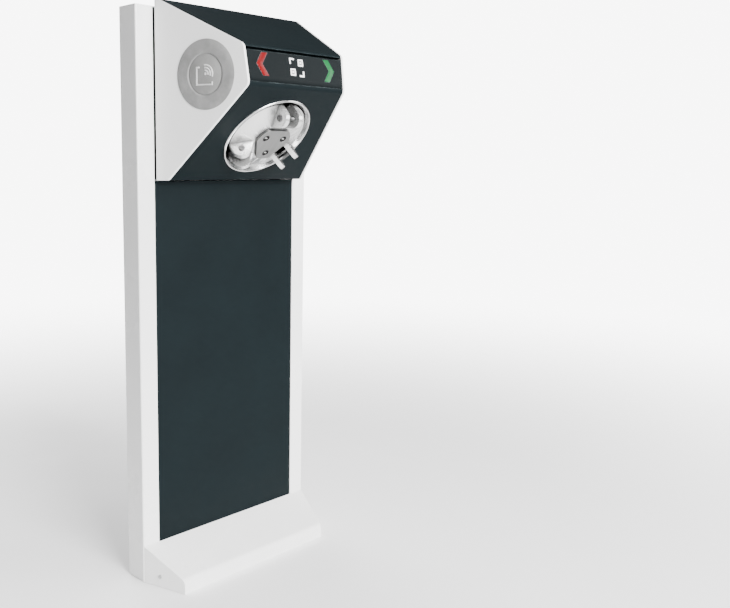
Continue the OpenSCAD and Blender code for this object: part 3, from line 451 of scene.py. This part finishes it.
# floor and light
stagePlan = {"size": 12.0, "colour": (0.94, 0.94, 0.94, 1), "shade": (0.90, 0.90, 0.90, 1),
             "fade": (0.7, 3.4),  # where the paper starts and ends fading out
             "ambient": (0.21, 0.21, 0.215, 1), "backdrop": (8.0, 8.0, 8.0, 1)}
clearSelection()
bpy.ops.mesh.primitive_plane_add(size=stagePlan["size"], location=(0, 0, 0))
floor = bpy.context.object
floor.name = "studio_floor"
floorPaper = coated("floorPaper", stagePlan["colour"], stagePlan["shade"], 0.6, 0.8, mottle=1.5)
paperTree = floorPaper.node_tree
away = put(paperTree, "VectorMath", operation="LENGTH")
paperTree.links.new(objectVector(paperTree), away.inputs[0])
paperTree.links.new(ranged(paperTree, away.outputs["Value"], *stagePlan["fade"], 1.0, 0.0, soft=True),
                    paperTree.nodes["Principled BSDF"].inputs["Alpha"])
floor.data.materials.append(floorPaper)
world = bpy.data.worlds.new("studio")
bpy.context.scene.world = world
world.use_nodes = True
sky = world.node_tree
seen = put(sky, "LightPath")
sky.links.new(mixed(sky, seen.outputs["Is Camera Ray"], stagePlan["ambient"], stagePlan["backdrop"]),
              sky.nodes["Background"].inputs["Color"])
lamps = [
    {"name": "key", "place": (-0.6, -3.7, 1.6), "size": 2.0, "power": 500.0},
    {"name": "right", "place": (2.6, -2.2, 1.4), "size": 1.6, "power": 60.0},
    {"name": "back", "place": (0.9, 3.4, 1.9), "size": 2.4, "power": 190.0},
    {"name": "top", "place": (0.4, -1.8, 3.4), "size": 2.6, "power": 150.0},
]
for lamp in lamps:
    clearSelection()
    bpy.ops.object.light_add(type="AREA", location=lamp["place"])
    made = bpy.context.object
    made.name = "lamp_" + lamp["name"]
    made.data.size = lamp["size"]
    made.data.energy = lamp["power"]
    made.rotation_euler = (Vector((0, -0.05, 0.6)) - made.location).to_track_quat("-Z", "Y").to_euler()
print("stage lit")

# finishes
pale = (0.93, 0.93, 0.925, 1)
dustTone = (0.55, 0.53, 0.5, 1)
whitePaint = coated("whitePaint", (0.83, 0.83, 0.825, 1), (0.79, 0.79, 0.785, 1), 0.24, 0.36,
                    mottle=5.0, peel=700.0, bump=0.05, wearAndHighlight=(pale, 0.5), dust=(dustTone, 0.10, 0.18),
                    coat=0.35, coatRough=0.06)
# the lighter edge colour on the hood is a painted highlight along its bevelled lips
darkPaint = coated("darkPaint", (0.0018, 0.0046, 0.0056, 1), (0.0025, 0.0058, 0.0070, 1), 0.5, 0.64,
                   mottle=7.0, peel=1100.0, bump=0.10, wearAndHighlight=((0.10, 0.13, 0.14, 1), 0.8),
                   dust=((0.02, 0.02, 0.02, 1), 0.16, 0.2), specular=0.08)
# the lighter edge colour on the band is a painted highlight along its top lip and bottom chamfer
bandPlastic = coated("bandPlastic", (0.0010, 0.0026, 0.0032, 1), (0.0016, 0.0036, 0.0043, 1), 0.4, 0.5,
                     mottle=9.0, peel=1300.0, bump=0.08, wearAndHighlight=((0.22, 0.26, 0.27, 1), 1.0), specular=0.10)
blackPlastic = coated("blackPlastic", (0.012, 0.012, 0.013, 1), (0.02, 0.02, 0.021, 1), 0.4, 0.6,
                      peel=1500.0, bump=0.15)
rubberSkin = coated("rubberSkin", (0.010, 0.010, 0.010, 1), (0.017, 0.017, 0.017, 1), 0.62, 0.85,
                    peel=1600.0, bump=0.25)
silverPaint = coated("silverPaint", (0.78, 0.78, 0.775, 1), (0.70, 0.70, 0.695, 1), 0.20, 0.30,
                     mottle=9.0, peel=1800.0, bump=0.04, wearAndHighlight=((0.95, 0.95, 0.95, 1), 0.7), metallic=0.75)
# painted shade in the rotor's crevices, at the feet of the fork ears and round the hub
paintCornerShade(silverPaint, 0.024, (0.035, 0.035, 0.035, 1))
boardGreen = coated("boardGreen", (0.02, 0.15, 0.06, 1), (0.03, 0.2, 0.08, 1), 0.35, 0.5, peel=600.0)
coilTape = coated("coilTape", (0.06, 0.08, 0.2, 1), (0.08, 0.1, 0.25, 1), 0.3, 0.5, peel=500.0)
gearNylon = coated("gearNylon", (0.72, 0.7, 0.64, 1), (0.66, 0.64, 0.58, 1), 0.35, 0.5, peel=900.0)
zincSteel = brushed("zincSteel", (0.62, 0.63, 0.64, 1), (0.5, 0.52, 0.53, 1), (200.0, 200.0, 12.0),
                    0.28, 0.45)
groundSteel = brushed("groundSteel", (0.68, 0.68, 0.69, 1), (0.55, 0.55, 0.56, 1), (300.0, 300.0, 30.0),
                      0.2, 0.35)
ringSteel = brushed("ringSteel", (0.62, 0.62, 0.62, 1), (0.50, 0.50, 0.50, 1), (60.0, 60.0, 900.0),
                    0.18, 0.3, place=axisPlace)
capSteel = brushed("capSteel", (0.25, 0.25, 0.245, 1), (0.15, 0.15, 0.15, 1), (900.0, 6.0, 900.0),
                   0.26, 0.42, bump=0.12, place=axisPlace)
# painted shade in the hub cap's corners and round its screws
paintCornerShade(capSteel, 0.007, (0.004, 0.004, 0.004, 1))
screwSteel = brushed("screwSteel", (0.6, 0.6, 0.6, 1), (0.42, 0.42, 0.42, 1), (400.0, 400.0, 400.0),
                     0.25, 0.45)
pinSteel = brushed("pinSteel", (0.12, 0.12, 0.12, 1), (0.07, 0.07, 0.07, 1), (500.0, 500.0, 500.0), 0.3, 0.5)
blackOxide = coated("blackOxide", (0.003, 0.003, 0.003, 1), (0.006, 0.006, 0.006, 1), 0.35, 0.5,
                    peel=900.0, bump=0.1, wearAndHighlight=((0.10, 0.10, 0.10, 1), 0.4), specular=0.15)
# black finish for the parts seen through the rotor's slots: painted shade, not their own colour
shadeBlackPlate = coated("shadeBlackPlate", (0.004, 0.004, 0.0045, 1), (0.008, 0.008, 0.0085, 1), 0.5, 0.7,
                    peel=700.0, bump=0.15, specular=0.15)


def signLens(name, colour, deep, glow):
    material, tree, shader = newMaterial(name, specular=0.2, emission=colour, glow=glow)
    vector = objectVector(tree, bandPlace)
    grid = put(tree, "TexVoronoi", Scale=420.0, Randomness=0.0)
    tree.links.new(vector, grid.inputs["Vector"])
    cell = ranged(tree, grid.outputs["Distance"], 0.15, 0.6, 0.0, 1.0)
    skin = useGroup(tree, coatSkin, vector, {
        "Colour": colour, "Shade": deep, "Mottle Scale": 30.0, "Peel Scale": 1400.0,
        "Rough Low": 0.22, "Rough High": 0.38})
    amount = mathNode(tree, "MULTIPLY", cell, 0.25)
    tree.links.new(mixed(tree, amount, skin.outputs["Colour"], deep), shader.inputs["Base Color"])
    tree.links.new(skin.outputs["Roughness"], shader.inputs["Roughness"])
    bumpFrom(tree, shader, grid.outputs["Distance"], 0.12, 0.0002)
    return material


redLens = signLens("redLens", (0.14, 0.0008, 0.002, 1), (0.09, 0.0006, 0.0015, 1), 0.05)
greenLens = signLens("greenLens", (0.0002, 0.105, 0.026, 1), (0.0002, 0.072, 0.016, 1), 0.06)
whiteLens = signLens("whiteLens", (0.85, 0.85, 0.85, 1), (0.68, 0.68, 0.68, 1), 0.3)


# fine rings and spokes round a reader's own centre
def readerSkin(name, side, colour, shade, ringStrength):
    material, tree, shader = newMaterial(name)
    vector = objectVector(tree, sidePlace(side))
    skin = useGroup(tree, coatSkin, vector, {
        "Colour": colour, "Shade": shade, "Mottle Scale": 30.0, "Peel Scale": 2200.0,
        "Rough Low": 0.42, "Rough High": 0.58})
    parts = put(tree, "SeparateXYZ")
    tree.links.new(vector, parts.inputs[0])
    away = put(tree, "VectorMath", operation="LENGTH")
    flat = put(tree, "CombineXYZ")
    tree.links.new(parts.outputs["X"], flat.inputs["X"])
    tree.links.new(parts.outputs["Y"], flat.inputs["Y"])
    tree.links.new(flat.outputs[0], away.inputs[0])
    rings = mathNode(tree, "SINE", mathNode(tree, "MULTIPLY", away.outputs["Value"], 2300.0))
    angle = mathNode(tree, "ARCTAN2", parts.outputs["Y"], parts.outputs["X"])
    spokes = mathNode(tree, "SINE", mathNode(tree, "MULTIPLY", angle, 96.0))
    weave = ranged(tree, mathNode(tree, "MULTIPLY", rings, spokes), -1.0, 1.0, 0.0, 1.0)
    woven = mathNode(tree, "MULTIPLY", weave, ringStrength)
    tree.links.new(mixed(tree, woven, skin.outputs["Colour"], shade), shader.inputs["Base Color"])
    tree.links.new(skin.outputs["Roughness"], shader.inputs["Roughness"])
    both = mathNode(tree, "ADD", woven, mathNode(tree, "MULTIPLY", skin.outputs["Height"], 0.3))
    bumpFrom(tree, shader, both, 0.6, 0.0006)
    return material


slotLooks = {
    "white_paint": whitePaint, "dark_paint": darkPaint, "dark_plastic": bandPlastic,
    "red_lens": redLens,
    "green_lens": greenLens, "white_lens": whiteLens, "circuit_board": boardGreen, "satin_steel": ringSteel,
    "cast_aluminium": silverPaint, "black_steel": blackOxide, "zinc_steel": zincSteel,
    "screw_steel": screwSteel, "ground_steel": groundSteel, "gear_plastic": gearNylon,
    "black_plastic": blackPlastic, "rubber": rubberSkin,
    "solenoid_coil": coilTape, "galvanised_case": zincSteel, "reader_plastic": bandPlastic}
# the parts that show through the rotor's slots get a black finish, a painted shade for the dark inside of the
# head
shadeInside = ("mechanism_plate", "mechanism_sides", "bearing_housing", "head_back_plate", "rotor_shaft",
              "mechanism_bolts")
for part in frame["record"]["subparts"]:
    looks = slotLooks[part["material_slot"]]
    mesh = nodes[part["node"]].data
    mesh.materials.clear()
    mesh.materials.append(shadeBlackPlate if part["node"] in shadeInside else looks)
print("finishes on every node")

# sheet metal, dressed
# node, body, slot, finish, edge width, edge segments
dressed = [
    ("column_body", "pedestal", "white_paint", whitePaint, 0.0006, 2),
    ("rear_cover", "pedestal", "white_paint", whitePaint, 0.0006, 2),
    ("base_cover", "pedestal", "white_paint", whitePaint, 0.0008, 2),
    ("front_panel", "pedestal", "dark_paint", darkPaint, 0.0008, 2),
    ("hood", "pedestal", "dark_paint", darkPaint, 0.0006, 2),
    ("side_panel_left", "pedestal", "white_paint", whitePaint, 0.0007, 3),
    ("side_panel_right", "pedestal", "white_paint", whitePaint, 0.0007, 3),
    ("indicator_band", "pedestal", "dark_plastic", bandPlastic, 0.0005, 2),
    ("rotor_body", "rotor", "cast_aluminium", silverPaint, 0.0008, 3),
    ("hub_cap", "rotor", "satin_steel", capSteel, 0.0007, 3),
    ("bezel_ring", "pedestal", "satin_steel", ringSteel, 0.0004, 2),
    ("base_cover_screws", "pedestal", "screw_steel", screwSteel, 0.0003, 2),
    ("rear_cover_screws", "pedestal", "screw_steel", screwSteel, 0.0003, 2),
    ("lock_body", "pedestal", "screw_steel", screwSteel, 0.0003, 2),
    ("lock_barrel", "lock_barrel", "zinc_steel", zincSteel, 0.0003, 2),
]
for row in dressed:
    dress(*row)
print("sheet metal dressed")

# readers
card = {"up": 0.0012, "edge": 0.0003,
        "outline": [(-0.018, 0.013), (-0.018, -0.018), (0.016, -0.018), (0.016, -0.012),
                    (0.0134, -0.012), (0.0134, -0.0154), (-0.0154, -0.0154), (-0.0154, 0.0104),
                    (-0.011, 0.0104), (-0.011, 0.013)]}
waves = {"centre": (0.001, 0.001), "radii": (0.0055, 0.010, 0.0145), "width": 0.0026, "from": -20,
         "sweep": 120, "steps": 18, "dot": 0.0022}


def roundedBox(x0, y0, x1, y1, r, steps=5):
    points = []
    corners = ((x1 - r, y1 - r, 0), (x0 + r, y1 - r, 90), (x0 + r, y0 + r, 180), (x1 - r, y0 + r, 270))
    for cx, cy, a in corners:
        for k in range(steps + 1):
            t = math.radians(a + 90 * k / steps)
            points.append((cx + r * math.cos(t), cy + r * math.sin(t)))
    return points


def makeReader(side, hand):
    top = reader["proud"]
    outside, inside = reader["radius"], reader["inner"]
    stops = [(reader["boss"], -0.005), (reader["boss"], 0.0001), (outside - 0.0006, 0.0001),
             (outside, 0.0005), (outside, 0.0007), (outside - 0.0008, 0.0011), (outside - 0.012, 0.0017),
             (inside + 0.0034, top), (inside + 0.0020, top), (inside + 0.0008, top - 0.0005),
             (inside, top - 0.0014)]
    ring = turnProfile(stops, 128, capEnd=True)
    smoothBy(ring, 28)
    settle(ring, sidePlace(side))
    outer = readerSkin("readerWeave_" + hand, side, (0.30, 0.30, 0.295, 1), (0.17, 0.17, 0.168, 1), 0.8)
    finishPiece(ring, "reader_ring_" + hand, "pedestal", outer, ["reader_disc_" + hand])
    inner = readerSkin("readerPlate_" + hand, side, (0.24, 0.24, 0.235, 1), (0.19, 0.19, 0.185, 1), 0.12)
    # the raised card, dot and waves get a lighter copy of the reader plastic: a painted highlight for their
    # relief
    raisedHighlight = readerSkin("readerRaisedHighlight_" + hand, side, (0.60, 0.60, 0.595, 1), (0.50, 0.50, 0.495, 1), 0.05)
    plate = turnProfile([(inside - 0.0012, top - 0.0016), (inside - 0.0012, top - 0.0009),
                         (inside - 0.0018, top - 0.0006)], 96, capEnd=True)
    smoothBy(plate, 28)
    settle(plate, sidePlace(side))
    finishPiece(plate, "reader_plate_" + hand, "pedestal", inner)
    low = top - 0.0008
    corner = pushOutline(card["outline"], low, low + card["up"])
    roundEdges(corner, card["edge"])
    smoothBy(corner, 40)
    settle(corner, sidePlace(side))
    finishPiece(corner, "reader_card_" + hand, "pedestal", raisedHighlight)
    dot = turnProfile([(waves["dot"], low), (waves["dot"], low + card["up"] - card["edge"]),
                       (waves["dot"] - 0.0005, low + card["up"])], 32, capEnd=True)
    smoothBy(dot, 40)
    settle(dot, sidePlace(side) @ Matrix.Translation((*waves["centre"], 0)))
    finishPiece(dot, "reader_dot_" + hand, "pedestal", raisedHighlight)
    for count, radius in enumerate(waves["radii"]):
        half = waves["width"] / 2
        points = []
        steps = waves["steps"]
        for r, order in ((radius + half, range(steps + 1)), (radius - half, range(steps, -1, -1))):
            for k in order:
                t = math.radians(waves["from"] + waves["sweep"] * k / steps)
                points.append((waves["centre"][0] + r * math.cos(t), waves["centre"][1] + r * math.sin(t)))
        wave = pushOutline(points, low, low + card["up"])
        roundEdges(wave, card["edge"])
        smoothBy(wave, 40)
        settle(wave, sidePlace(side))
        finishPiece(wave, f"reader_wave_{hand}_{count + 1}", "pedestal", raisedHighlight)


makeReader(-1, "left")
makeReader(1, "right")
print("readers made")

# signs on the band
band = {"start": -0.0085, "flat": 0.043, "face": -0.001, "proud": 0.0005, "chevronX": 0.079, "width": 0.026,
        "height": 0.0385, "stroke": 0.013, "edge": 0.0006}
bandMid = band["start"] - band["flat"] / 2


def chevronPoints(side):
    w, h, s = band["width"] / 2, band["height"] / 2, band["stroke"]
    points = [(-w, h), (-w + s, h), (w, 0), (-w + s, -h), (-w, -h), (w - s, 0)]
    points = [(side * x, y) for x, y in points]
    return points if side == 1 else points[::-1]


for side, name, slotName, looks in ((-1, "chevron_red", "red_lens", redLens),
                                    (1, "chevron_green", "green_lens", greenLens)):
    sign = pushOutline(chevronPoints(side), band["face"] - 0.0038, band["face"] + band["proud"])
    roundEdges(sign, band["edge"], 3)
    smoothBy(sign, 40)
    settle(sign, bandPlace @ Matrix.Translation((side * band["chevronX"], bandMid, 0)))
    finishPiece(sign, name + "_lens", "pedestal", looks, [name])
dress("band_icon", "pedestal", "white_lens", whiteLens, 0.0004)
print("signs made")

# screws and pins
screw = {"circle": 0.0233, "headR": 0.0058, "low": 0.0136, "high": 0.0164, "shank": 0.003, "end": -0.0195,
         "edge": 0.0008, "socket": 0.0030, "deep": 0.0018, "glintLong": 0.0042, "glintHalf": 0.0011}
for count in range(3):
    angle = 90 + 60 + 120 * count
    spot = axisPlace @ turnZ(angle) @ Matrix.Translation((screw["circle"], 0, 0))
    high = screw["high"]
    body = turnProfile([(screw["shank"], screw["end"]), (screw["shank"], screw["low"]),
                        (screw["headR"], screw["low"]), (screw["headR"], high - screw["edge"]),
                        (screw["headR"] - screw["edge"], high), (screw["socket"] + 0.0004, high),
                        (screw["socket"], high - 0.0003), (screw["socket"], high - screw["deep"])],
                       48, capEnd=True)
    smoothBy(body, 35)
    settle(body, spot)
    finishPiece(body, f"hub_screw_{count + 1}", "rotor", blackOxide, ["hub_screws"])
    # bright steel bars across the sockets, all turned the same way, are a painted highlight: each screw's
    # glint
    outline = roundedBox(-screw["glintLong"], -screw["glintHalf"], screw["glintLong"], screw["glintHalf"], 0.0005, 3)
    glintBar = pushOutline(outline, high - 0.0019, high - 0.0001)
    roundEdges(glintBar, 0.0002)
    smoothBy(glintBar, 40)
    settle(glintBar, spot @ turnZ(-angle + 90 + 75))
    finishPiece(glintBar, f"hub_screw_glint_{count + 1}", "rotor", screwSteel)

pin = {"from": 0.060, "height": 0.0165, "r": 0.0045, "gap": 0.023, "ear": 0.008, "head": 0.0057}
for count in range(3):
    across = Matrix.Translation((pin["from"], 0, pin["height"])) @ turnX(90)
    spot = axisPlace @ turnZ(90 + 120 * count) @ across
    half = pin["gap"] / 2 + pin["ear"]
    rod = turnProfile([(pin["r"], -half - 0.0002), (pin["head"] - 0.0003, -half - 0.0002),
                       (pin["head"], -half - 0.0005), (pin["head"], -half - 0.0014),
                       (pin["head"] - 0.0006, -half - 0.0020), (0.002, -half - 0.0020),
                       (0.0012, -half - 0.0012)], 48, capEnd=True)
    rod.name = "pinHead"
    smoothBy(rod, 35)
    other = rod.copy()
    other.data = rod.data.copy()
    bpy.context.scene.collection.objects.link(other)
    other.matrix_world = turnX(180)
    middle = turnProfile([(pin["r"], -half - 0.0002), (pin["r"], half + 0.0002)], 48)
    smoothBy(middle, 35)
    clearSelection()
    for piece in (rod, other, middle):
        piece.select_set(True)
    bpy.context.view_layer.objects.active = rod
    bpy.ops.object.transform_apply(location=True, rotation=True, scale=True)
    bpy.ops.object.join()
    tidyNormals(rod)
    settle(rod, spot)
    finishPiece(rod, f"fork_pin_{count + 1}", "rotor", pinSteel, ["fork_pins"])
print("rotor fittings made")
